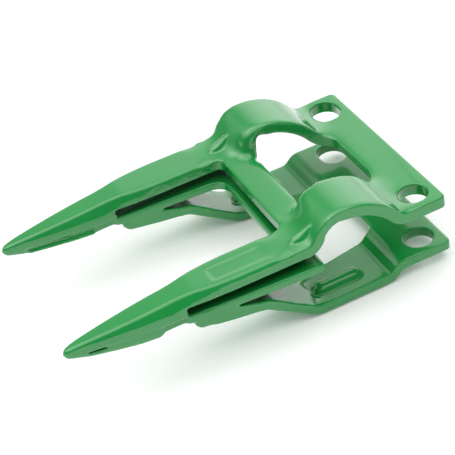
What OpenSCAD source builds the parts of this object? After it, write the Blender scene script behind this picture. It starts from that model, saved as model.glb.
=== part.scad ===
// Double knife guard for a mower cutter bar: three steel pressings welded together at the fingers.
// X runs across the bar, fingers point to -Y, Z is up along the bolts.
// The origin is midway between the two bolt holes, on the top face of the upper rear plate.

/* [Fixing] */
// distance between the two bolt holes, which is also the finger pitch
bolt_pitch = 76.2; // [60:0.1:110]
// bolt hole diameter
hole_d = 12; // [8:0.1:15]
// length added to the left bolt holes, towards the middle
slot_play = 3; // [0:0.1:5]
// bolt hole centre to the side edge of the rear plates
side_margin = 9.55; // [8:0.05:16]
// bolt hole centre to the rear edge of the rear plates
rear_margin = 9.6; // [8:0.1:16]
// clear height between the two rear plates
bar_gap = 16.8; // [10:0.1:26]
// corner radius of the rear plates
plate_corner_r = 2; // [0.5:0.1:4]

/* [Upper pressing] */
// sheet thickness of the upper pressing
upper_t = 5.4; // [3:0.1:7]
// finger top above the rear plate top
finger_rise = 3.5; // [1:0.1:6]
// hump crest above the rear plate top
hump_rise = 13.9; // [11:0.1:20]
// hump crest in front of the bolt line
hump_reach = 35; // [30:0.1:42]
// radius of the hump's rear flank
hump_rear_r = 30; // [25:0.5:36]
// radius of the hump's front flank
hump_front_r = 14; // [11:0.5:17]
// radius of the hollows where the hump runs out
hump_foot_r = 4; // [2:0.1:5]
// thickness left in the stretched front flank, as a share of the sheet
stretch = 0.82; // [0.7:0.01:1]
// turn of the hump's inner front corner towards the middle
flank_turn = 64; // [50:1:70]
// finger axis to the foot of that corner at the hump's front foot
flank_side = 10.4; // [9:0.1:12]
// how far the hump's front foot stands back beside the opening
flank_back = 3.0; // [2:0.1:9]
// finger axis to the side of the upper opening at the rear plate
open_side_rear = 17.1; // [15:0.1:20]
// finger axis to the side of the upper opening beside the humps
open_side = 13.5; // [11:0.1:16]
// rear edge of the upper opening in front of the bolt line
open_rear = 5.9; // [5:0.1:12]
// corner radius at that edge
open_rear_r = 11; // [4:0.5:12]
// corner radius at the opening's front edge
open_front_r = 5.5; // [3:0.5:7]
// rear edge of the upper crossbar in front of the bolt line
bar_rear = 40.6; // [38:0.1:44]
// front edge of the upper crossbar in front of the bolt line
bar_front = 53.3; // [50:0.1:58]
// fillet between crossbar and finger
bar_fillet = 5; // [2:0.1:8]

/* [Fingers] */
// finger tip in front of the bolt line
tip_reach = 151.3; // [125:0.1:182]
// front end of the knife slit in front of the bolt line
slit_front = 102.5; // [90:0.1:112]
// height of the knife slit
slit_h = 4.1; // [3:0.1:6]
// half width of the finger beside the slit
finger_half = 8.9; // [7.5:0.1:10.5]
// half width of the nose where the slit ends
nose_half = 7.7; // [6:0.1:9]
// half width of the blunt tip
tip_half = 1.5; // [1:0.1:2.5]
// power of the curve of the nose's plan outline
nose_power = 1.6; // [1.2:0.05:2]
// edge bevel of the finger beside the slit
bar_bevel = 0.8; // [0.4:0.1:1.6]
// widest bevel of the nose, just in front of the slit
nose_bevel = 2.6; // [1.5:0.1:3.2]
// bevel height for each unit of its width
bevel_steep = 1.65; // [1:0.05:2]
// fall of the nose's top from the slit to the tip
nose_fall = 5; // [2:0.1:6]
// depth of the tip below the knife slit's floor, just in front of the tongue
keel_depth = 2.5; // [1:0.1:3]
// length of the dart ridges that stiffen the hump's front foot
dart_len = 10.2; // [5:0.1:11]
// rise of the dart ridges' crest
dart_rise = 3.3; // [2:0.1:4]
// half width of the dart ridges
dart_half = 4.9; // [3:0.1:7]
// length of the bare panel sunk into the right finger's top
panel_len = 27; // [15:0.5:34]
// half width of that panel
panel_half = 4.1; // [2:0.1:5.5]
// middle of that panel in front of the bolt line
panel_mid = 75.8; // [72:0.1:80]
// depth of that panel
panel_deep = 0.4; // [0.2:0.05:0.8]

/* [Ledger plate] */
// thickness of the ledger plate
ledger_t = 3.7; // [2.5:0.1:5]
// half width of the ledger at its rear edge
ledger_half_rear = 11.1; // [9:0.1:13]
// half width of the ledger at the slit's front end
ledger_half_front = 7.4; // [6:0.1:8.5]
// rear edge of the ledger plate in front of the bolt line
ledger_rear = 45.8; // [42:0.1:50]
// front edge of the ledger plate's crossbar in front of the bolt line
ledger_bar_front = 55; // [53:0.1:60]
// fillet between that crossbar and the ledgers
ledger_fillet = 6.5; // [3:0.1:8]
// half width of the neck between ledger and tongue
neck_half = 5.6; // [4:0.1:6.5]
// share of the nose length where the tongue reaches its full width
tongue_start = 0.2; // [0.12:0.01:0.3]
// share of the nose length where the tongue ends
tongue_end = 0.82; // [0.7:0.01:0.88]
// step of the tongue side behind the nose side
tongue_step = 1.4; // [1:0.1:1.8]
// rise of the tongue's underside towards its end
tongue_rise = 1.1; // [0.2:0.1:1.5]

/* [Lower pressing] */
// sheet thickness of the lower pressing
lower_t = 4.5; // [3:0.1:6]
// drop from the lower rear plate to the shelves
shelf_drop = 4; // [2:0.1:6]
// bend from rear plate to riser in front of the bolt line
riser_rear = 14.6; // [13:0.1:17]
// bend from riser to shelf in front of the bolt line
riser_front = 18.8; // [18:0.1:23]
// bend from shelf to ramp in front of the bolt line
shelf_front = 50; // [46:0.1:54]
// bend from ramp to lip in front of the bolt line
ramp_front = 70.3; // [66:0.1:76]
// lip top below the ledger's underside at the bend
lip_drop = 3.7; // [2:0.1:5]
// finger axis to the leg's inner edge at the rear plate
leg_side_rear = 16.3; // [14:0.1:20]
// finger axis to the leg's inner edge at the shelf's front bend
leg_side_front = 10.8; // [10:0.1:16]
// front edge of the lower rear plate between the legs
lower_plate_front = 12; // [10.5:0.1:14]
// half width of the lip at its front end
lip_half = 6.9; // [5.5:0.1:8]
// radius of the embossed ribs
rib_r = 4.2; // [3:0.1:5]
// height of the embossed ribs over the shelf
rib_h = 3; // [1.5:0.1:3.4]
// length of the embossed ribs over all
rib_len = 22.5; // [14:0.5:24]
// rib middle in front of the bolt line
rib_mid = 38; // [35:0.1:40]

/* [Welds] */
// share of the nose length where the outer nose weld starts
weld_start = 0.215; // [0.15:0.005:0.3]
// share of the nose length where that weld lies open at its upper edge
crack_start = 0.69; // [0.6:0.01:0.76]
// height of the open crack over the weld's front end
crack_h = 0.6; // [0.2:0.1:1]
// depth of the outer nose weld at its start
weld_deep = 4.7; // [3:0.1:6]
// size of the small fillet welds
weld_leg = 1.3; // [0.8:0.1:1.6]
// play left round the welds
weld_play = 0.05; // [0.02:0.01:0.1]

/* [Hidden] */
$fn = 48;

paint = [0.13, 0.55, 0.27];
weld_paint = [0.16, 0.58, 0.30];

arc_steps = 10;
flank_steps = 18;
far = 240;
axis_x = bolt_pitch / 2;
plate_half = axis_x + side_margin;
hole_r = hole_d / 2;
open_half_rear = axis_x - open_side_rear;
open_half = axis_x - open_side;
leg_inner_rear = axis_x - leg_side_rear;
leg_inner_front = axis_x - leg_side_front;

// heights of the faces, from the top of the upper rear plate
finger_top = finger_rise;
finger_under = finger_top - upper_t;
ledger_top = finger_under - slit_h;
ledger_under = ledger_top - ledger_t;
lower_top = -upper_t - bar_gap;
shelf_top = lower_top - shelf_drop;
shelf_under = shelf_top - lower_t;

// hump flanks: centres of the four arcs of its top line, in Y and Z
rear_c = [-hump_reach, hump_rise - hump_rear_r];
front_c = [-hump_reach, hump_rise - hump_front_r];
rear_foot_c = [-hump_reach + sqrt(pow(hump_rear_r + hump_foot_r, 2) - pow(hump_foot_r - rear_c[1], 2)),
               hump_foot_r];
front_foot_z = finger_top + hump_foot_r;
front_foot_c = [-hump_reach - sqrt(pow(hump_front_r + hump_foot_r, 2) - pow(front_foot_z - front_c[1], 2)),
                front_foot_z];
foot_y = front_foot_c[0];
stretch_table = [[-far, 1], [0.5, 1], [5, stretch], [12, stretch + 0.03], [19, 1], [far, 1]];

// nose: u is 0 at the slit's front end and 1 at the tip
nose_len = tip_reach - slit_front;
tip_round = 0.95;
tip_z = ledger_top + 1.7;
u_root = -(slit_front - bar_front - 1) / nose_len;
keel_start = tongue_end + 0.004;
bar_stations = [u_root, u_root * 0.45, u_root * 0.3, u_root * 0.2, -0.1, -0.05];
nose_stations = [for (i = [0 : 16]) tongue_end * i / 16];
keel_stations = [for (i = [0 : 4]) keel_start + (0.96 - keel_start) * i / 4];
tip_stations = [0.972, 0.984, 0.993, 0.999];
tongue_n = 12;
side_table = [[u_root, finger_half], [u_root * 0.45, finger_half], [u_root * 0.2, finger_half - 0.3], [0, nose_half]];
bevel_table = [[u_root, bar_bevel], [u_root * 0.36, bar_bevel], [-0.1, nose_bevel * 0.75],
               [0.09, nose_bevel], [1, 0.25]];
weld_n = 16;
weld_end = tongue_end - 0.01;
weld_table = [[weld_start, weld_deep - 0.5], [weld_start + 0.03, weld_deep], [0.4, weld_deep - 0.1],
              [0.57, weld_deep - 0.9], [weld_end, keel_depth]];

function unit(v) = v / norm(v);
function flip(list) = [for (i = [len(list) - 1 : -1 : 0]) list[i]];
function tail(list) = [for (i = [1 : len(list) - 1]) list[i]];
function arc(c, r, a0, a1, n = arc_steps) =
    [for (i = [0 : n]) c + r * [cos(a0 + (a1 - a0) * i / n), sin(a0 + (a1 - a0) * i / n)]];
function heading(a, b) = atan2(b[1] - a[1], b[0] - a[0]);

// corner b between a and c, rounded with radius r
function corner(a, b, c, r) =
    let (p = unit([a[0] - b[0], a[1] - b[1]]), q = unit([c[0] - b[0], c[1] - b[1]]), half = acos(p * q) / 2)
    let (mid = [b[0], b[1]] + unit(p + q) * r / sin(half), tangent = r / tan(half))
    let (s = [b[0], b[1]] + p * tangent, e = [b[0], b[1]] + q * tangent)
    let (a0 = heading(mid, s), turn = (heading(mid, e) - a0 + 540) % 360 - 180)
    arc(mid, r, a0, a0 + turn);

// open line through corners [y, z, radius]
function line_path(k) =
    [for (i = [0 : len(k) - 1], p = (i == 0 || i == len(k) - 1 || k[i][2] == 0)
        ? [[k[i][0], k[i][1]]] : corner(k[i - 1], k[i], k[i + 1], k[i][2])) p];

// closed outline through corners [x, y, radius]
function ring_path(k) =
    let (n = len(k))
    [for (i = [0 : n - 1], p = k[i][2] == 0
        ? [[k[i][0], k[i][1]]] : corner(k[(i + n - 1) % n], k[i], k[(i + 1) % n], k[i][2])) p];

// line moved sideways by d, to the left of its direction
function side_path(k, d) =
    let (n = len(k))
    [for (i = [0 : n - 1])
        let (t = unit(k[min(i + 1, n - 1)] - k[max(i - 1, 0)]))
        k[i] + d * [-t[1], t[0]]];

// underside of the upper pressing's top line, thinner where the flank is stretched behind its foot
function sheet_path(k, d, foot) =
    let (n = len(k))
    [for (i = [0 : n - 1])
        let (t = unit(k[min(i + 1, n - 1)] - k[max(i - 1, 0)]))
        k[i] + d * lookup(k[i][0] - foot, stretch_table) * [-t[1], t[0]]];

function both_sides(k) = concat(k, [for (c = flip(k)) [-c[0], c[1], c[2]]]);

// top line of the upper pressing, from the rear edge to the fingers
hump_line = concat(
    [[rear_margin, 0]],
    arc(rear_foot_c, hump_foot_r, -90, heading(rear_foot_c, rear_c)),
    tail(arc(rear_c, hump_rear_r, heading(rear_c, rear_foot_c), 90, flank_steps)),
    tail(arc(front_c, hump_front_r, 90, heading(front_c, front_foot_c), flank_steps)),
    tail(arc(front_foot_c, hump_foot_r, heading(front_foot_c, front_c), -90)),
    [[-far, finger_top]]);

// falling flank of radius r with its foot at y, higher than the hump at its crest
flank_lift = 0.8;
end_slope = 0.16;
function falling(y, r) =
    let (top = hump_rise + flank_lift, foot = [y, front_foot_z])
    let (c = [y + sqrt(pow(r + hump_foot_r, 2) - pow(front_foot_z - top + r, 2)), top - r])
    concat(
        [[far, top]],
        arc(c, r, 90, heading(c, foot), flank_steps),
        tail(arc(foot, hump_foot_r, heading(foot, c), -90)),
        [[-far, finger_top]]);
flank_line = falling(foot_y, hump_front_r);
inner_line = falling(foot_y + flank_back, hump_front_r * 0.6);

// top line of the lower pressing, from the rear edge to the lip's front end
lip_front = slit_front - 1.5;
lip_bite = 0.25;
lip_slope = (lip_drop + lip_bite) / (lip_front - ramp_front);
function lip_low(y) = ledger_under + lip_bite - lip_slope * (y + lip_front) - lower_t * norm([1, lip_slope]);
lower_line = line_path([
    [rear_margin, lower_top, 0], [-riser_rear, lower_top, lower_t + 2.5], [-riser_front, shelf_top, 2.5],
    [-shelf_front, shelf_top, 6], [-ramp_front, ledger_under - lip_drop, 10],
    [-lip_front, ledger_under + lip_bite, 0]]);

upper_outline = both_sides([
    [plate_half, rear_margin, plate_corner_r], [plate_half, -bar_rear, 15],
    [axis_x + finger_half, -bar_front - 4, 0], [axis_x - finger_half, -bar_front - 4, 0],
    [axis_x - finger_half, -bar_front, bar_fillet - 1.5]]);

opening_outline = both_sides([
    [open_half, -bar_rear, open_front_r], [open_half, -hump_reach + 6, 20], [open_half_rear, -open_rear, open_rear_r]]);

function tongue_side(u) = nose_side(u) - tongue_step;
tongue_right = [for (i = [0 : tongue_n])
    let (u = tongue_start + (tongue_end - tongue_start) * i / tongue_n)
    [tongue_side(u), station_y(u), 0]];

ledger_outline = both_sides(concat(
    [[axis_x + ledger_half_rear, -ledger_rear, 1.5], [axis_x + ledger_half_front, -slit_front, 1.5],
     [axis_x + neck_half, -slit_front - 1.6, 0.8]],
    [for (p = tongue_right) [axis_x + p[0], p[1], 0]],
    [for (p = flip(tongue_right)) [axis_x - p[0], p[1], 0]],
    [[axis_x - neck_half, -slit_front - 1.6, 0.8], [axis_x - ledger_half_front, -slit_front, 1.5],
     [axis_x - ledger_half_rear + 0.6, -ledger_bar_front, ledger_fillet]]));

lower_outline = both_sides([
    [plate_half, rear_margin, plate_corner_r], [plate_half, -shelf_front - 4, 20],
    [axis_x + lip_half + 1.3, -ramp_front - 8, 25], [axis_x + lip_half, -lip_front, 2.5],
    [axis_x - lip_half, -lip_front, 2.5], [axis_x - lip_half - 1.3, -ramp_front - 8, 15],
    [leg_inner_front, -shelf_front, 12], [leg_inner_rear, -riser_front, 0],
    [leg_inner_rear, -lower_plate_front, 4]]);

function nose_side(u) = u < 0 ? lookup(u, side_table)
    : tip_half + (nose_half - tip_half) * (1 - pow(min(u, 1), nose_power));
function nose_top(u) = u < 0 ? finger_top - 0.5 * max(0, (u + 0.1) / 0.1)
    : finger_top - 0.5 - nose_fall * u - pow(u, 16);
function keel_low(u) = ledger_top - keel_depth + (keel_depth - 0.4) * (u - tongue_end) / (1 - tongue_end);
function tip_shrink(u) = u < tip_round ? 1 : sqrt(1 - pow((u - tip_round) / (1 - tip_round), 2));
function at_tip(p, u) = [p[0] * tip_shrink(u), tip_z + (p[1] - tip_z) * tip_shrink(u)];
function station_y(u) = -slit_front - nose_len * u;

// right half of the finger's cross-section, from below upwards
function finger_half_section(u) =
    let (b = nose_side(u), w = min(lookup(u, bevel_table), b * 0.6), t = nose_top(u))
    let (low = u < keel_start - 0.001 ? ledger_top : keel_low(u))
    let (foot = u < keel_start - 0.001 ? 0.5 : min(1.2, b * 0.5))
    [[b - foot, low], [b, low + foot], [b, t - bevel_steep * w], [b - w * 0.92, t - 0.35], [b - w - 0.5, t]];
function full_section(half, u) =
    [for (p = concat(half, [for (q = flip(half)) [-q[0], q[1]]])) let (s = at_tip(p, u)) [s[0], station_y(u), s[1]]];

// solid through a row of cross-sections with the same number of points
module loft(rows) {
    n = len(rows[0]);
    m = len(rows);
    sides = [for (i = [0 : m - 2], j = [0 : n - 1])
        let (a = i * n + j, b = i * n + (j + 1) % n, c = a + n, d = b + n)
        each [[a, d, b], [a, c, d]]];
    caps = [for (j = [1 : n - 2]) each [[0, j, j + 1], [(m - 1) * n, (m - 1) * n + j + 1, (m - 1) * n + j]]];
    polyhedron(points = [for (r = rows, p = r) p], faces = concat(sides, caps), convexity = 6);
}

// prism along X over a Y-Z outline
module along_x(outline, half) {
    translate([-half, 0, 0]) rotate([90, 0, 90]) linear_extrude(height = 2 * half) polygon(outline);
}

// space under a Y-Z line
module under(line, half) {
    along_x(concat(line, [[line[len(line) - 1][0], -far], [line[0][0], -far]]), half);
}

// space over the flat crossbar, between the humps' sloping ends
module crossbar_space(d) {
    half = open_half - 1.7 + 0.4 * d;
    low = finger_top - d;
    high = hump_rise + 4;
    translate([0, -bar_rear + open_front_r - 2, 0]) rotate([90, 0, 0]) linear_extrude(height = far)
        polygon([[-half, low], [half, low], [half + end_slope * (high - low), high],
                 [-half - end_slope * (high - low), high]]);
}

// space under one side's hump, with its front flank turned towards the middle
module under_hump(s, d) {
    intersection() {
        under(sheet_path(hump_line, d, foot_y), far);
        union() {
            translate([s * (axis_x - flank_side), foot_y, 0])
                rotate([0, 0, -s * flank_turn])
                    translate([0, -foot_y, 0])
                        under(sheet_path(flank_line, d, foot_y), 2 * far);
            difference() {
                under(sheet_path(inner_line, d, foot_y + flank_back), far);
                crossbar_space(d);
            }
        }
        translate([s > 0 ? 0 : -far, -far, -far]) cube([far, 2 * far, 2 * far]);
    }
}

// round hole on the right, short slot on the left
module bolt_holes(z0, z1) {
    translate([axis_x, 0, z0]) cylinder(h = z1 - z0, r = hole_r);
    translate([-axis_x, 0, z0]) cylinder(h = z1 - z0, r = hole_r);
    if (slot_play > 0) {
        translate([-axis_x + slot_play, 0, z0]) cylinder(h = z1 - z0, r = hole_r);
        translate([-axis_x, -hole_r, z0]) cube([slot_play, 2 * hole_r, z1 - z0]);
    }
}

module finger(s) {
    translate([s * axis_x, 0, 0])
        loft([for (u = concat(bar_stations, nose_stations, keel_stations, tip_stations))
            full_section(finger_half_section(u), u)]);
}

// ridge pressed into the foot of the hump, with its crest over the bend
module dart(length, half, rise) {
    hull() {
        translate([0, length * 0.42, rise]) sphere(r = 0.7, $fn = 16);
        translate([0, -length * 0.52, -0.75]) sphere(r = 0.7, $fn = 16);
        translate([half, 0, -1]) sphere(r = 0.5, $fn = 12);
        translate([-half, 0, -1]) sphere(r = 0.5, $fn = 12);
    }
}

// shallow bare panel in the right finger's top
module panel() {
    translate([axis_x + 0.4, -panel_mid, finger_top - panel_deep]) linear_extrude(height = 5)
        offset(r = 1, $fn = 16) square([2 * panel_half - 2, panel_len - 2], center = true);
}

module knife_slit() {
    along_x(ring_path([
        [-bar_rear, finger_under, 0], [-slit_front, finger_under, 1.2],
        [-slit_front, ledger_top - 3, 0], [-bar_rear, ledger_top - 3, 0]]), far);
}

module upper_sheet() {
    intersection() {
        for (s = [-1, 1]) difference() {
            under_hump(s, 0);
            under_hump(s, upper_t);
        }
        translate([0, 0, -far / 2]) linear_extrude(height = far) polygon(ring_path(upper_outline));
    }
}

module upper_opening() {
    translate([0, 0, -far / 2]) linear_extrude(height = far) polygon(ring_path(opening_outline));
}

// upper pressing: rear plate, two humps, crossbar and the two fingers with their noses
module upper_guard() {
    color(paint) difference() {
        union() {
            upper_sheet();
            finger(-1);
            finger(1);
            for (s = [-1, 1])
                translate([s * (axis_x + 0.9), foot_y + 1.7, finger_top]) dart(dart_len, dart_half, dart_rise);
        }
        knife_slit();
        panel();
        upper_opening();
        bolt_holes(-upper_t - 1, 1);
    }
}

// ledger plate: flat counter-cutting plate whose tongues run under the noses
module ledger_plate() {
    color(paint) difference() {
        translate([0, 0, ledger_under]) linear_extrude(height = ledger_t) polygon(ring_path(ledger_outline));
        along_x([[station_y(0.3), ledger_under], [station_y(tongue_end) - 1, ledger_under + tongue_rise],
                 [station_y(tongue_end) - 1, ledger_under - 1], [station_y(0.3), ledger_under - 1]], far);
    }
}

module rib_capsule(r, z) {
    half = rib_len / 2 - rib_r;
    translate([0, -rib_mid, z]) {
        rotate([90, 0, 0]) cylinder(h = 2 * half, r = r, center = true);
        for (e = [-1, 1]) translate([0, e * half, 0]) sphere(r = r);
    }
}

module lower_sheet() {
    intersection() {
        along_x(concat(lower_line, flip(side_path(lower_line, lower_t))), far);
        translate([0, 0, -far / 2]) linear_extrude(height = far) polygon(ring_path(lower_outline));
        along_x(ring_path([
            [rear_margin + 1, ledger_under, 0], [-lip_front - 0.3, ledger_under, 0],
            [-lip_front - 0.3, ledger_under - 0.8, 0], [-lip_front + 2.4, lip_low(-lip_front + 2.4) - 0.1, 4.5],
            [-ramp_front - 5, lip_low(-ramp_front - 5) - 0.1, 0], [-ramp_front, shelf_under - 1, 0],
            [rear_margin + 1, shelf_under - 1, 0]]), far);
    }
}

// lower pressing: rear plate, two legs with ribbed shelves, ramps and lips under the ledgers
module lower_guard() {
    color(paint) difference() {
        union() {
            lower_sheet();
            for (s = [-1, 1])
                translate([s * axis_x, 0, 0]) intersection() {
                    rib_capsule(rib_r, shelf_top + rib_h - rib_r);
                    translate([-far / 2, -far, shelf_top - lower_t / 2]) cube([far, far, far]);
                }
        }
        for (s = [-1, 1])
            translate([s * axis_x, 0, 0]) rib_capsule(rib_r - 1, shelf_under + rib_h - rib_r + 0.7);
        bolt_holes(lower_top - lower_t - 1, lower_top + 1);
    }
}

// broad weld over the tongue's outer side, flush with the nose and open at its front upper edge
module nose_bead(s) {
    g = weld_play;
    rows = [for (i = [0 : weld_n])
        let (u = weld_start + (weld_end - weld_start) * i / weld_n, c = tongue_side(u) + g)
        let (b = nose_side(u) - (i == 0 ? 0.5 : 0.12), top = ledger_top - g - (u > crack_start ? crack_h : 0))
        let (low = ledger_top - lookup(u, weld_table))
        [for (p = [[c, top], [b - 0.2, top], [b, top - 0.4], [b, low + 1.4], [b - 0.4, low + 0.4], [c + 0.2, low],
                   [c, low + 0.2]])
            [p[0], station_y(u), p[1]]]];
    translate([s * axis_x, 0, 0]) mirror([s > 0 ? 0 : 1, 0, 0]) loft([for (r = rows) flip(r)]);
}

// short fillet weld between the nose and the tongue's inner side
module nose_tack(s) {
    g = weld_play;
    k = min(weld_leg, tongue_step - 0.2);
    rows = [for (i = [0 : 4])
        let (u = 0.42 + 0.025 * i, c = tongue_side(u) + g, f = sqrt(sin(20 + 35 * i)))
        [for (p = [[c, ledger_top - g], [c + k * f, ledger_top - g], [c + k * 0.72 * f, ledger_top - g - k * 0.62 * f],
                   [c, ledger_top - g - weld_leg * f]])
            [p[0], station_y(u), p[1]]]];
    translate([s * axis_x, 0, 0]) mirror([s > 0 ? 1 : 0, 0, 0]) loft([for (r = rows) flip(r)]);
}

// fillet weld under the ledger's side, on the outer side of finger s
module lip_bead(s) {
    g = weld_play;
    y0 = -lip_front + 2.7;
    y1 = -lip_front + 9;
    slope = 1.3 / (lip_front - ramp_front - 8);
    k = weld_leg;
    rows = [for (i = [0 : 6])
        let (y = y0 + (y1 - y0) * i / 6, c = lip_half + slope * (y + lip_front) + g, f = sqrt(sin(15 + 25 * i)))
        [for (p = [[c, ledger_under - g], [c + k * f, ledger_under - g],
                   [c + k * 0.75 * f, ledger_under - g - k * 0.65], [c, ledger_under - g - k]])
            [p[0], y, p[1]]]];
    translate([s * axis_x, 0, 0]) mirror([s > 0 ? 0 : 1, 0, 0]) loft(rows);
}

module nose_weld_left() {
    color(weld_paint) nose_bead(-1);
}

module nose_weld_right() {
    color(weld_paint) nose_bead(1);
}

module nose_tack_left() {
    color(weld_paint) nose_tack(-1);
}

module nose_tack_right() {
    color(weld_paint) nose_tack(1);
}

module lip_weld_left() {
    color(weld_paint) lip_bead(-1);
}

module lip_weld_right() {
    color(weld_paint) lip_bead(1);
}

upper_guard();
ledger_plate();
lower_guard();
nose_weld_left();
nose_weld_right();
nose_tack_left();
nose_tack_right();
lip_weld_left();
lip_weld_right();
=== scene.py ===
import math

import bmesh
import bpy
import numpy as np
from mathutils import Matrix, Vector
from mathutils.kdtree import KDTree


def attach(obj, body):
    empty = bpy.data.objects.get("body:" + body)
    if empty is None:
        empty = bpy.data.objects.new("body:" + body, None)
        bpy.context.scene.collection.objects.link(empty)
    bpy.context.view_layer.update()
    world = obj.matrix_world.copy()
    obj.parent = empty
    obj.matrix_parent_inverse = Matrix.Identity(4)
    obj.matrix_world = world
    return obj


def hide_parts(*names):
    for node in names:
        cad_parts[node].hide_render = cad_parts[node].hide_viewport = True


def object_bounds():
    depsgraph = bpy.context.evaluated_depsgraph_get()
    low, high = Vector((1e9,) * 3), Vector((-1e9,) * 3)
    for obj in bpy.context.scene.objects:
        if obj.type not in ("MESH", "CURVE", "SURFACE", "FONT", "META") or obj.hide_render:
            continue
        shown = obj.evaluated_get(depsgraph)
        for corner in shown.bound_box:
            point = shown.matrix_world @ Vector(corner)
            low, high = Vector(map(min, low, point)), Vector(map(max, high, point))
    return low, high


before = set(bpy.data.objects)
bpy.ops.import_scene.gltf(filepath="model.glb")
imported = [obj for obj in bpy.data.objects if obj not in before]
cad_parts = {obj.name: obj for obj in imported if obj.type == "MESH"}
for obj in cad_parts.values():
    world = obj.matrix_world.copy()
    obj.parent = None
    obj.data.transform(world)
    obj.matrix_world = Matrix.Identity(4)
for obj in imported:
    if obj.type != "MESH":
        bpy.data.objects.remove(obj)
cad_low, cad_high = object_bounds()

# Places and sizes on the guard are in millimetres, in the CAD model's frame.
MM = 0.001
FINGERS = (-38.1, 38.1)

# Camera of the photograph: place and aim in metres, roll in degrees, lens and sensor.
CAMERA_PLACE = Vector((0.46817, -0.21023, 0.35552))
CAMERA_AIM = Vector((-0.00712, -0.06369, -0.01465))
CAMERA_ROLL = -12.71
LENS, SENSOR = 118.7, 36.0
CLIP_NEAR, CLIP_FAR = 0.01, 20.0

# Skin: the nodes that one coat of paint joins, the distance in metres at which points are one,
# the cell of the fused mesh, the rounds of smoothing before and after the darts are added, and
# the triangles that are left.
FUSED = ["upper_guard", "ledger_plate", "lower_guard", "nose_weld_left", "nose_weld_right",
         "lip_weld_left", "lip_weld_right"]
SAME_POINT = 1e-6
CELL = 0.33
FIRST_ROUNDS, EDGE_ROUNDS = 4, 6
SKIN_TRIANGLES = 190000

# Share of the way to its neighbours' mean that a point moves in one round of smoothing.
PULL = 0.5

# Bolt holes keep crisp rims: middle in X and half length of the slot's straight part, then the
# reach round that line and the share of smoothing there.
HOLES = [(38.1, 0.0), (-36.6, 1.5)]
HOLE_REACH, HOLE_SHARE = 8.0, 0.25

# Spots on both sides that are smoothed to a round: middle, reach and rounds. They are the corner
# where a hump runs out over the crossbar, the opening's rim beside it, and the lip's weld.
SPOTS = [((25.0, -43.0, 8.0), 11.0, 200), ((24.6, -40.6, 0.0), 6.5, 300),
         ((46.2, -95.0, -10.4), 5.5, 120)]
SPOT_CORE = 0.5

# In the next four areas only tops are smoothed. TOPS gives the normal's Z of a face that counts
# in full and of one that doesn't count, CORE the share of the reach that is smoothed in full.

# The hollow where each hump runs out into the rear plate.
HOLLOW_Y, HOLLOW_Z = -9.5, 0.8
HOLLOW_REACH, HOLLOW_CORE, HOLLOW_ROUNDS = 9.0, 0.4, 600
HOLLOW_TOPS = (0.85, 0.6)

# The humps, from the front foot to the rear plate.
HUMP_FROM, HUMP_TO, HUMP_FADE, HUMP_LOW = -47.0, -2.0, 4.0, -0.5
HUMP_ROUNDS = 50
HUMP_TOPS = (0.75, 0.35)

# The hollow in front of each hump, where the finger's top starts to rise.
FOOT = (38.1, -52.5, 5.0)
FOOT_SHAPE = (1.2, 1.0, 0.6)
FOOT_REACH, FOOT_CORE, FOOT_ROUNDS = 16.0, 0.6, 400
FOOT_LOW = 2.5
FOOT_TOPS = (0.7, 0.3)

# The bend between each shelf and its ramp.
BEND_Y, BEND_Z = -54.5, -25.5
BEND_REACH, BEND_CORE, BEND_ROUNDS = 11.0, 0.5, 800
BEND_TOPS = (0.8, 0.5)

# The ribs on the shelves keep their shape: middle and half length of their straight part in Y,
# the half width that is kept, and the strip round it.
RIB_MID, RIB_STRAIGHT, RIB_KEPT, RIB_FADE = -38.0, 7.05, 5.0, 1.5

# The crossbar's top rolls down towards its front edge: Y of both edges, half length and its
# faded ends, the drop, the lowest Z that moves, and how far in front of the edge points move.
ROLL_FROM, ROLL_TO, ROLL_HALF, ROLL_FADE, ROLL_DROP = -40.6, -53.3, 27.0, 8.0, 0.5
ROLL_LOW, ROLL_PAST = -3.0, 3.0

# An open crack beside the right tip: Y of both ends, height, half width and depth, then the
# share of the width at its front end, the shares of length and width that are deepest, and how
# far from the finger's middle it starts.
CRACK_FRONT, CRACK_REAR, CRACK_Z, CRACK_HALF, CRACK_DEEP = -142.6, -134.6, -6.2, 0.55, 1.6
CRACK_START, CRACK_LONG, CRACK_CORE, CRACK_OUT = 0.45, 0.6, 0.3, 2.0

# Sloping seams fill the step under the noses' inner sides. The noses and tongues have the CAD
# model's sizes. A seam's section is given outwards from the tongue's side, and up from the
# tongue's top or from the seam's lower edge, which rises towards the tip.
SLIT_END, NOSE_LEN, NOSE_HALF, TIP_HALF, NOSE_POWER = -102.5, 48.8, 7.7, 1.5, 1.6
TONGUE_STEP, TONGUE_TOP = 1.4, -6.0
SEAM_AT = (0.21, 0.35, 0.50, 0.65, 0.79)
SEAM_UPPER = [(-0.5, -0.4), (0.1, -0.5)]
SEAM_LOWER = [(1.2, 0.5), (0.9, 0.0), (-0.5, 0.0)]
SEAM_LOW, SEAM_RISE, SEAM_RISE_AT = -9.6, 2.0, 0.3

# Paint closes the gap between lip and ledger in front: Y, half width, top and bottom.
LIP_FILL = [(-100.6, 7.3, -9.6, -11.8), (-98.5, 7.5, -9.6, -13.7), (-85.0, 8.2, -9.65, -15.9),
            (-74.0, 8.3, -12.9, -17.3)]

# Dart ridges at the humps' feet: X of the crest's upper and lower end, and the width of the foot
# on the -X side. Corners are given from the X of the upper end and from that of the lower end,
# and the foot by its Y, Z and width on the +X side.
DARTS = [(41.0, 41.1, 4.2), (-36.2, -35.6, 7.0)]
DART_UPPER = [(-0.7, -45.6, 8.8), (0.6, -45.6, 8.8), (-2.5, -43.0, 3.0), (2.5, -43.0, 3.0)]
DART_LOWER = [(-1.5, -54.1, 5.1), (1.1, -52.5, 5.1), (0.4, -56.4, 3.1), (-1.4, -55.8, 3.1)]
DART_FOOT_Y, DART_FOOT_Z, DART_RIGHT = -48.4, 3.0, 3.9

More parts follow.
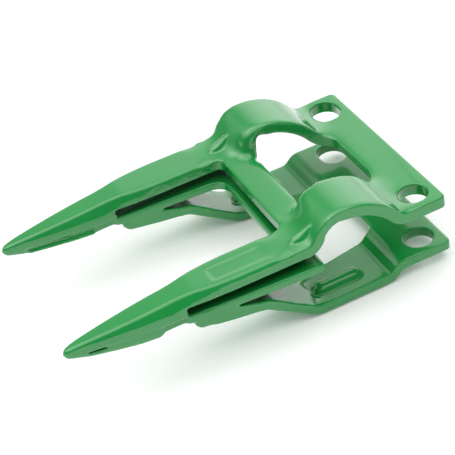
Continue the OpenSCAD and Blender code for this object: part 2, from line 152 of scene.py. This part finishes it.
# Dents in the sheets' cut sides: height, size and seed. CUT_TOPS gives the normal's Z of a face
# that is dented in full and of one that isn't, and faces along the fingers get less.
DENTS = [(0.09, 3.2, 1), (0.05, 1.4, 2)]
CUT_TOPS = (0.15, 0.5)
CUT_ALONG = 0.2

# The fingers' flame-cut sides over the knife slit are rougher: middle, half length and faded
# ends in Y, lowest Z, and the heights of dents elsewhere and added there.
LAND_MID, LAND_HALF, LAND_FADE, LAND_LOW = -79.0, 24.0, 2.0, -3.0
CUT_ROUGH, LAND_ROUGH = 0.5, 2.1

# Weld beads: cell, rounds of smoothing, swelling, and height and pitch of the ripples.
BEAD_CELL, BEAD_ROUNDS, BEAD_SWELL = 0.14, 6, 0.1
BEAD_RIPPLE, BEAD_PITCH = 0.06, 1.15

# Cells along one side of the block that noise is drawn for.
LATTICE = 32

# Enamel: deep and light green of the guard and of the welds.
GUARD_GREENS = (0.008, 0.250, 0.045), (0.012, 0.300, 0.058)
WELD_GREENS = (0.010, 0.262, 0.050), (0.014, 0.305, 0.062)
CLOUD_SCALE, CLOUD_DETAIL = 55.0, 3.0
PEEL_SCALE, PEEL_DETAIL, PEEL_STRENGTH, PEEL_HEIGHT = 600.0, 1.5, 0.05, 0.0002
ROUGHNESS = (0.13, 0.22)
COAT, COAT_ROUGHNESS = 0.7, 0.04

# Painted shade: the base colour is darkened in narrow places, where nearby surfaces block the
# sky: reach in metres, rays, open share of the sky at which it is darkest and plain, and the
# darkest shade.
PAINTED_SHADE_REACH, PAINTED_SHADE_RAYS = 0.012, 8
PAINTED_SHADE_OPEN = (0.15, 0.7)
PAINTED_SHADE_DARKEST = 0.3

# Floor.
FLOOR_HALF, FLOOR_GAP = 4.0, 0.5
FLOOR_WHITE, FLOOR_ROUGHNESS, FLOOR_SHINE, FLOOR_GLOW = 0.9, 0.8, 0.1, 0.12

# Room: its light on the right and on the left with the X between which it rises, and the light
# overhead with the heights between which it rises.
ROOM_RIGHT, ROOM_LEFT, ROOM_SIDES = 0.10, 0.22, (-0.3, 0.5)
DOME, DOME_RISE = 1.85, (0.70, 0.90)

# Soft lights seen in the paint: direction, cosine of the rim, steepness and strength.
LOBES = [((-0.75, 0.56, 0.35), 0.52, 3.2, 1.52), ((-0.42, -0.50, 0.76), 0.78, 2.0, 1.8)]

# Fill lights: place in metres and power, and their size.
FILLS = {"fill_right": ((0.6, 0.1, 0.7), 2.25), "fill_front": ((0.1, -0.9, 0.5), 0.8)}
FILL_SIZE = 0.8


def make_camera():
    data = bpy.data.cameras.new("photo_camera")
    data.lens, data.sensor_width = LENS, SENSOR
    data.clip_start, data.clip_end = CLIP_NEAR, CLIP_FAR
    camera = bpy.data.objects.new("photo_camera", data)
    bpy.context.scene.collection.objects.link(camera)
    upright = (CAMERA_AIM - CAMERA_PLACE).to_track_quat("-Z", "Y").to_matrix().to_4x4()
    roll = Matrix.Rotation(math.radians(CAMERA_ROLL), 4, "Z")
    camera.matrix_world = Matrix.Translation(CAMERA_PLACE) @ upright @ roll
    bpy.context.scene.camera = camera


# Meshes

def with_modifier(mesh, kind, **settings):
    """The mesh after one modifier."""
    carrier = bpy.data.objects.new("carrier", mesh)
    bpy.context.scene.collection.objects.link(carrier)
    modifier = carrier.modifiers.new(kind.lower(), kind)
    for key, value in settings.items():
        setattr(modifier, key, value)
    graph = bpy.context.evaluated_depsgraph_get()
    result = bpy.data.meshes.new_from_object(carrier.evaluated_get(graph))
    bpy.data.objects.remove(carrier)
    bpy.data.meshes.remove(mesh)
    return result


def even_skin(sources, cell, hulls=()):
    """One closed skin over several closed meshes and hulls, as a mesh of even cells."""
    work = bmesh.new()
    for source in sources:
        work.from_mesh(source)
    bmesh.ops.remove_doubles(work, verts=work.verts, dist=SAME_POINT)
    for points in hulls:
        corners = [work.verts.new(Vector(p) * MM) for p in points]
        bmesh.ops.convex_hull(work, input=corners)
    mesh = bpy.data.meshes.new("skin")
    work.to_mesh(mesh)
    work.free()
    return with_modifier(mesh, "REMESH", mode="VOXEL", voxel_size=cell * MM)


def read_points(mesh):
    co = np.zeros(len(mesh.vertices) * 3, np.float32)
    mesh.vertices.foreach_get("co", co)
    return co.reshape(-1, 3).astype(float)


def read_normals(mesh):
    normals = np.zeros(len(mesh.vertices) * 3, np.float32)
    mesh.vertex_normals.foreach_get("vector", normals)
    return normals.reshape(-1, 3).astype(float)


def write_points(mesh, co):
    mesh.vertices.foreach_set("co", co.astype(np.float32).ravel())
    mesh.update()


def relax(mesh, rounds, weight=PULL):
    """Moves points towards the mean of their neighbours, which rounds edges and fills corners."""
    ends = np.zeros(len(mesh.edges) * 2, np.int32)
    mesh.edges.foreach_get("vertices", ends)
    a, b = ends.reshape(-1, 2).T
    co = read_points(mesh)
    share = np.broadcast_to(weight, len(co))
    used = (share[a] > 0) | (share[b] > 0)
    kept, line = np.unique(np.concatenate([a[used], b[used]]), return_inverse=True)
    a, b = np.split(line, 2)
    count, share, part = len(kept), share[kept], co[kept]
    degree = np.bincount(a, minlength=count) + np.bincount(b, minlength=count)
    for _ in range(rounds):
        for axis in range(3):
            value = part[:, axis]
            total = np.bincount(a, value[b], count) + np.bincount(b, value[a], count)
            part[:, axis] = value + share * (total / degree - value)
    co[kept] = part
    write_points(mesh, co)


def fade(distance, near, far):
    """1 up to near, 0 from far on, smooth between them."""
    t = np.clip((far - distance) / (far - near), 0, 1)
    return t * t * (3 - 2 * t)


def tops(normals, full, none):
    """1 where the normal's Z is full or more, 0 where it is none or less."""
    return fade(-normals[:, 2], -full, -none)


def lumps(co, size, seed):
    """Smooth noise between -1 and 1 with features of that size."""
    lattice = np.random.default_rng(seed).uniform(-1, 1, (LATTICE, LATTICE, LATTICE))
    p = co / size
    cell = np.floor(p).astype(int)
    t = p - cell
    t = t * t * (3 - 2 * t)
    value = 0
    for corner in np.ndindex(2, 2, 2):
        index = (cell + corner) % LATTICE
        part = np.where(corner, t, 1 - t).prod(1)
        value = value + part * lattice[index[:, 0], index[:, 1], index[:, 2]]
    return value


def thinned(mesh, triangles):
    """The mesh with fewer triangles, shaded with the normals of the full one."""
    co, normals = read_points(mesh), read_normals(mesh)
    tree = KDTree(len(co))
    for index, point in enumerate(co):
        tree.insert(point, index)
    tree.balance()
    mesh = with_modifier(mesh, "DECIMATE", ratio=triangles / (2 * len(mesh.polygons)))
    nearest = [tree.find(vertex.co)[1] for vertex in mesh.vertices]
    mesh.shade_smooth()
    mesh.normals_split_custom_set_from_vertices(normals[nearest])
    return mesh


# Forms of the guard

def edge_weight(mesh):
    """The weight of smoothing, less round the holes."""
    x, y, _ = read_points(mesh).T / MM
    weight = np.full(len(x), PULL)
    for middle, half in HOLES:
        distance = np.hypot(np.maximum(np.abs(x - middle) - half, 0), y)
        weight[distance < HOLE_REACH] *= HOLE_SHARE
    return weight


def smooth_spot(mesh, middle, reach, rounds):
    """Softens both sides of the guard within reach of a point."""
    co = read_points(mesh) / MM
    co[:, 0] = np.abs(co[:, 0])
    distance = np.linalg.norm(co - np.array(middle), axis=1)
    relax(mesh, rounds, PULL * fade(distance, SPOT_CORE * reach, reach))


def smooth_hollows(mesh):
    """The humps run out softly into the rear plate."""
    _, y, z = read_points(mesh).T / MM
    near = fade(np.hypot(y - HOLLOW_Y, z - HOLLOW_Z), HOLLOW_CORE * HOLLOW_REACH, HOLLOW_REACH)
    relax(mesh, HOLLOW_ROUNDS, PULL * tops(read_normals(mesh), *HOLLOW_TOPS) * near)


def smooth_humps(mesh):
    """The drawn sheet of the humps is even."""
    _, y, z = read_points(mesh).T / MM
    middle, half = (HUMP_FROM + HUMP_TO) / 2, (HUMP_TO - HUMP_FROM) / 2
    near = fade(np.abs(y - middle), half - HUMP_FADE, half) * (z > HUMP_LOW)
    relax(mesh, HUMP_ROUNDS, PULL * tops(read_normals(mesh), *HUMP_TOPS) * near)


def smooth_feet(mesh):
    """The fingers' tops rise softly into the humps."""
    co = read_points(mesh) / MM
    co[:, 0] = np.abs(co[:, 0])
    distance = np.linalg.norm((co - np.array(FOOT)) * FOOT_SHAPE, axis=1)
    near = fade(distance, FOOT_CORE * FOOT_REACH, FOOT_REACH) * (co[:, 2] > FOOT_LOW)
    relax(mesh, FOOT_ROUNDS, PULL * tops(read_normals(mesh), *FOOT_TOPS) * near)


def smooth_bends(mesh):
    """The shelves run up into the ramps in a wide bend, beside the ribs."""
    x, y, z = read_points(mesh).T / MM
    near = fade(np.hypot(y - BEND_Y, z - BEND_Z), BEND_CORE * BEND_REACH, BEND_REACH)
    rib = np.hypot(np.abs(x) - FINGERS[1], np.maximum(np.abs(y - RIB_MID) - RIB_STRAIGHT, 0))
    free = 1 - fade(rib, RIB_KEPT, RIB_KEPT + RIB_FADE)
    relax(mesh, BEND_ROUNDS, PULL * tops(read_normals(mesh), *BEND_TOPS) * free * near)


def roll_crossbar(mesh):
    co = read_points(mesh)
    x, y, z = co.T / MM
    t = np.clip((y - ROLL_FROM) / (ROLL_TO - ROLL_FROM), 0, 1)
    near = fade(np.abs(x), ROLL_HALF - ROLL_FADE, ROLL_HALF)
    near = near * (z > ROLL_LOW) * (y > ROLL_TO - ROLL_PAST)
    co[:, 2] -= ROLL_DROP * MM * t * t * near
    write_points(mesh, co)


def open_crack(mesh):
    co = read_points(mesh)
    x, y, z = co.T / MM
    t = np.clip((y - CRACK_FRONT) / (CRACK_REAR - CRACK_FRONT), 0, 1)
    half = CRACK_HALF * np.minimum(CRACK_START + t, 1)
    groove = fade(np.abs(2 * t - 1), CRACK_LONG, 1)
    groove = groove * fade(np.abs(z - CRACK_Z), CRACK_CORE * half, half)
    co[:, 0] -= CRACK_DEEP * MM * np.where(x > FINGERS[1] + CRACK_OUT, groove, 0)
    write_points(mesh, co)


def rough_cuts(mesh):
    """Cut edges are uneven under the paint: the sides of the sheets get shallow dents."""
    co, normals = read_points(mesh), read_normals(mesh)
    _, y, z = co.T / MM
    steep = fade(np.abs(normals[:, 2]), *CUT_TOPS)
    steep = steep * (CUT_ALONG + (1 - CUT_ALONG) * np.abs(normals[:, 0]))
    land = fade(np.abs(y - LAND_MID), LAND_HALF - LAND_FADE, LAND_HALF) * (z > LAND_LOW)
    dents = sum(height * MM * lumps(co, size * MM, seed) for height, size, seed in DENTS)
    depth = (CUT_ROUGH + LAND_ROUGH * land) * dents
    write_points(mesh, co + normals * (steep * depth)[:, None])


def lip_fill(finger):
    return [(finger + side * half, y, z)
            for y, half, top, low in LIP_FILL for side in (-1, 1) for z in (top, low)]


def seam_section(finger, u):
    """Section of the seam on a nose's inner side, at the share u of the nose's length."""
    side = TIP_HALF + (NOSE_HALF - TIP_HALF) * (1 - u ** NOSE_POWER) - TONGUE_STEP
    low = SEAM_LOW + SEAM_RISE * max(0, u - SEAM_RISE_AT)
    corners = [(out, TONGUE_TOP + up) for out, up in SEAM_UPPER]
    corners += [(out, low + up) for out, up in SEAM_LOWER]
    inner = -1 if finger > 0 else 1
    return [(finger + inner * (side + out), SLIT_END - NOSE_LEN * u, z) for out, z in corners]


def seams():
    return [seam_section(finger, a) + seam_section(finger, b)
            for finger in FINGERS for a, b in zip(SEAM_AT, SEAM_AT[1:])]


def dart(upper_x, lower_x, left):
    """Corners of one dart ridge, from the hump's flank down to the finger's top."""
    return ([(upper_x + x, y, z) for x, y, z in DART_UPPER]
            + [(lower_x + x, y, z) for x, y, z in DART_LOWER]
            + [(upper_x + x, DART_FOOT_Y, DART_FOOT_Z) for x in (DART_RIGHT, -left)])


# Pieces

def make_piece(name, mesh, material, nodes):
    """A piece on the body, kept inside the CAD model's box."""
    write_points(mesh, np.clip(read_points(mesh), cad_low, cad_high))
    mesh.materials.clear()
    mesh.materials.append(material)
    piece = bpy.data.objects.new(name, mesh)
    bpy.context.scene.collection.objects.link(piece)
    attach(piece, "root")
    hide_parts(*nodes)


def make_guard(material):
    """The welded guard under one coat of paint."""
    fills = [lip_fill(finger) for finger in FINGERS]
    plain = even_skin([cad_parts[node].data for node in FUSED], CELL, fills + seams())
    relax(plain, FIRST_ROUNDS, edge_weight(plain))
    roll_crossbar(plain)
    smooth_bends(plain)
    for spot in SPOTS:
        smooth_spot(plain, *spot)
    smooth_hollows(plain)
    smooth_feet(plain)
    mesh = even_skin([plain], CELL, [dart(*sizes) for sizes in DARTS])
    bpy.data.meshes.remove(plain)
    relax(mesh, EDGE_ROUNDS, edge_weight(mesh))
    smooth_humps(mesh)
    open_crack(mesh)
    rough_cuts(mesh)
    make_piece("painted_guard", thinned(mesh, SKIN_TRIANGLES), material, FUSED)


def make_bead(node, material):
    """A small weld bead with the ripples of its drops."""
    mesh = even_skin([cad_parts[node].data], BEAD_CELL)
    relax(mesh, BEAD_ROUNDS)
    co, normals = read_points(mesh), read_normals(mesh)
    ripple = np.sin(2 * math.pi * co[:, 1] / (BEAD_PITCH * MM))
    height = BEAD_SWELL * MM + BEAD_RIPPLE * MM * ripple
    write_points(mesh, co + normals * height[:, None])
    mesh.shade_smooth()
    make_piece("painted_" + node, mesh, material, [node])


# Materials

def node_of(tree, kind, **settings):
    """A new node. A setting goes to the socket of that name or else to the node itself."""
    node = tree.nodes.new(kind)
    for key, value in settings.items():
        if key in node.inputs:
            node.inputs[key].default_value = value
        else:
            setattr(node, key, value)
    return node


def ramp(tree, value, start, end, low, high, kind="LINEAR"):
    """A value that goes from low at start to high at end."""
    node = node_of(tree, "ShaderNodeMapRange", interpolation_type=kind)
    node.inputs["From Min"].default_value = start
    node.inputs["From Max"].default_value = end
    node.inputs["To Min"].default_value = low
    node.inputs["To Max"].default_value = high
    tree.links.new(value, node.inputs["Value"])
    return node.outputs["Result"]


def enamel(name, deep, light):
    """Glossy enamel: two close greens in soft clouds, painted shade that darkens the colour in
    narrow places, and the fine ripple called orange peel.
    """
    material = bpy.data.materials.new(name)
    material.use_nodes = True
    tree = material.node_tree
    shader = tree.nodes["Principled BSDF"]
    place = node_of(tree, "ShaderNodeTexCoord").outputs["Object"]
    clouds = node_of(tree, "ShaderNodeTexNoise", Scale=CLOUD_SCALE, Detail=CLOUD_DETAIL)
    tree.links.new(place, clouds.inputs["Vector"])
    tint = node_of(tree, "ShaderNodeMix", data_type="RGBA")
    tint.inputs["A"].default_value = (*deep, 1)
    tint.inputs["B"].default_value = (*light, 1)
    tree.links.new(clouds.outputs["Fac"], tint.inputs["Factor"])
    # Painted shade: an ambient occlusion node darkens the base colour towards a dark green in
    # slits, corners and under other parts.
    occlusion = node_of(tree, "ShaderNodeAmbientOcclusion", Distance=PAINTED_SHADE_REACH,
                    samples=PAINTED_SHADE_RAYS, only_local=True)
    colour = node_of(tree, "ShaderNodeMix", data_type="RGBA")
    colour.inputs["A"].default_value = (*(PAINTED_SHADE_DARKEST * part for part in deep), 1)
    tree.links.new(ramp(tree, occlusion.outputs["AO"], *PAINTED_SHADE_OPEN, 0, 1), colour.inputs["Factor"])
    tree.links.new(tint.outputs["Result"], colour.inputs["B"])
    tree.links.new(colour.outputs["Result"], shader.inputs["Base Color"])
    gloss = ramp(tree, clouds.outputs["Fac"], 0, 1, *ROUGHNESS)
    tree.links.new(gloss, shader.inputs["Roughness"])
    peel = node_of(tree, "ShaderNodeTexNoise", Scale=PEEL_SCALE, Detail=PEEL_DETAIL)
    tree.links.new(place, peel.inputs["Vector"])
    ripple = node_of(tree, "ShaderNodeBump", Strength=PEEL_STRENGTH, Distance=PEEL_HEIGHT)
    tree.links.new(peel.outputs["Fac"], ripple.inputs["Height"])
    tree.links.new(ripple.outputs["Normal"], shader.inputs["Normal"])
    tree.links.new(ripple.outputs["Normal"], shader.inputs["Coat Normal"])
    shader.inputs["Coat Weight"].default_value = COAT
    shader.inputs["Coat Roughness"].default_value = COAT_ROUGHNESS
    return material


# Studio

def make_floor():
    material = bpy.data.materials.new("pale_floor")
    material.use_nodes = True
    shader = material.node_tree.nodes["Principled BSDF"]
    shader.inputs["Base Color"].default_value = (FLOOR_WHITE, FLOOR_WHITE, FLOOR_WHITE, 1)
    shader.inputs["Roughness"].default_value = FLOOR_ROUGHNESS
    shader.inputs["Specular IOR Level"].default_value = FLOOR_SHINE
    shader.inputs["Emission Color"].default_value = (1, 1, 1, 1)
    shader.inputs["Emission Strength"].default_value = FLOOR_GLOW
    work = bmesh.new()
    bmesh.ops.create_grid(work, x_segments=1, y_segments=1, size=FLOOR_HALF)
    mesh = bpy.data.meshes.new("floor")
    work.to_mesh(mesh)
    work.free()
    mesh.materials.append(material)
    floor = bpy.data.objects.new("floor", mesh)
    floor.location.z = cad_low.z - FLOOR_GAP * MM
    bpy.context.scene.collection.objects.link(floor)


def combine(tree, operation, first, second):
    """The result of one operation on two values, each a number or another node's output."""
    node = node_of(tree, "ShaderNodeMath", operation=operation)
    for socket, value in zip(node.inputs, (first, second)):
        if isinstance(value, (int, float)):
            socket.default_value = value
        else:
            tree.links.new(value, socket)
    return node.outputs["Value"]


def make_room():
    """White room: bright overhead, a glow low on the rear left, and dim on the camera's side."""
    world = bpy.data.worlds.new("studio")
    world.use_nodes = True
    tree = world.node_tree
    way = node_of(tree, "ShaderNodeTexCoord").outputs["Generated"]
    parts = node_of(tree, "ShaderNodeSeparateXYZ")
    tree.links.new(way, parts.inputs["Vector"])
    leftwards = combine(tree, "MULTIPLY", parts.outputs["X"], -1.0)
    total = ramp(tree, leftwards, *ROOM_SIDES, ROOM_RIGHT, ROOM_LEFT, "SMOOTHSTEP")
    dome = ramp(tree, parts.outputs["Z"], *DOME_RISE, 0, DOME, "SMOOTHSTEP")
    total = combine(tree, "ADD", dome, total)
    for towards, rim, steep, strength in LOBES:
        near = node_of(tree, "ShaderNodeVectorMath", operation="DOT_PRODUCT")
        tree.links.new(way, near.inputs[0])
        near.inputs[1].default_value = Vector(towards).normalized()
        lobe = combine(tree, "POWER", ramp(tree, near.outputs["Value"], rim, 1, 0, 1), steep)
        total = combine(tree, "ADD", combine(tree, "MULTIPLY", lobe, strength), total)
    back = tree.nodes["Background"]
    back.inputs["Color"].default_value = (1, 1, 1, 1)
    tree.links.new(total, back.inputs["Strength"])
    bpy.context.scene.world = world


def fill_light(name, place, power):
    """A soft light that brightens faces and leaves no reflection."""
    data = bpy.data.lights.new(name, "AREA")
    data.size, data.energy = FILL_SIZE, power
    light = bpy.data.objects.new(name, data)
    bpy.context.scene.collection.objects.link(light)
    light.location = place
    aim = (cad_low + cad_high) / 2
    light.rotation_euler = (aim - light.location).to_track_quat("-Z", "Y").to_euler()
    light.visible_glossy = False


make_camera()
make_guard(enamel("green_enamel", *GUARD_GREENS))
weld_enamel = enamel("weld_enamel", *WELD_GREENS)
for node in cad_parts:
    if node not in FUSED:
        make_bead(node, weld_enamel)
make_floor()
make_room()
for name, (place, power) in FILLS.items():
    fill_light(name, place, power)
bpy.context.scene.view_settings.view_transform = "Standard"
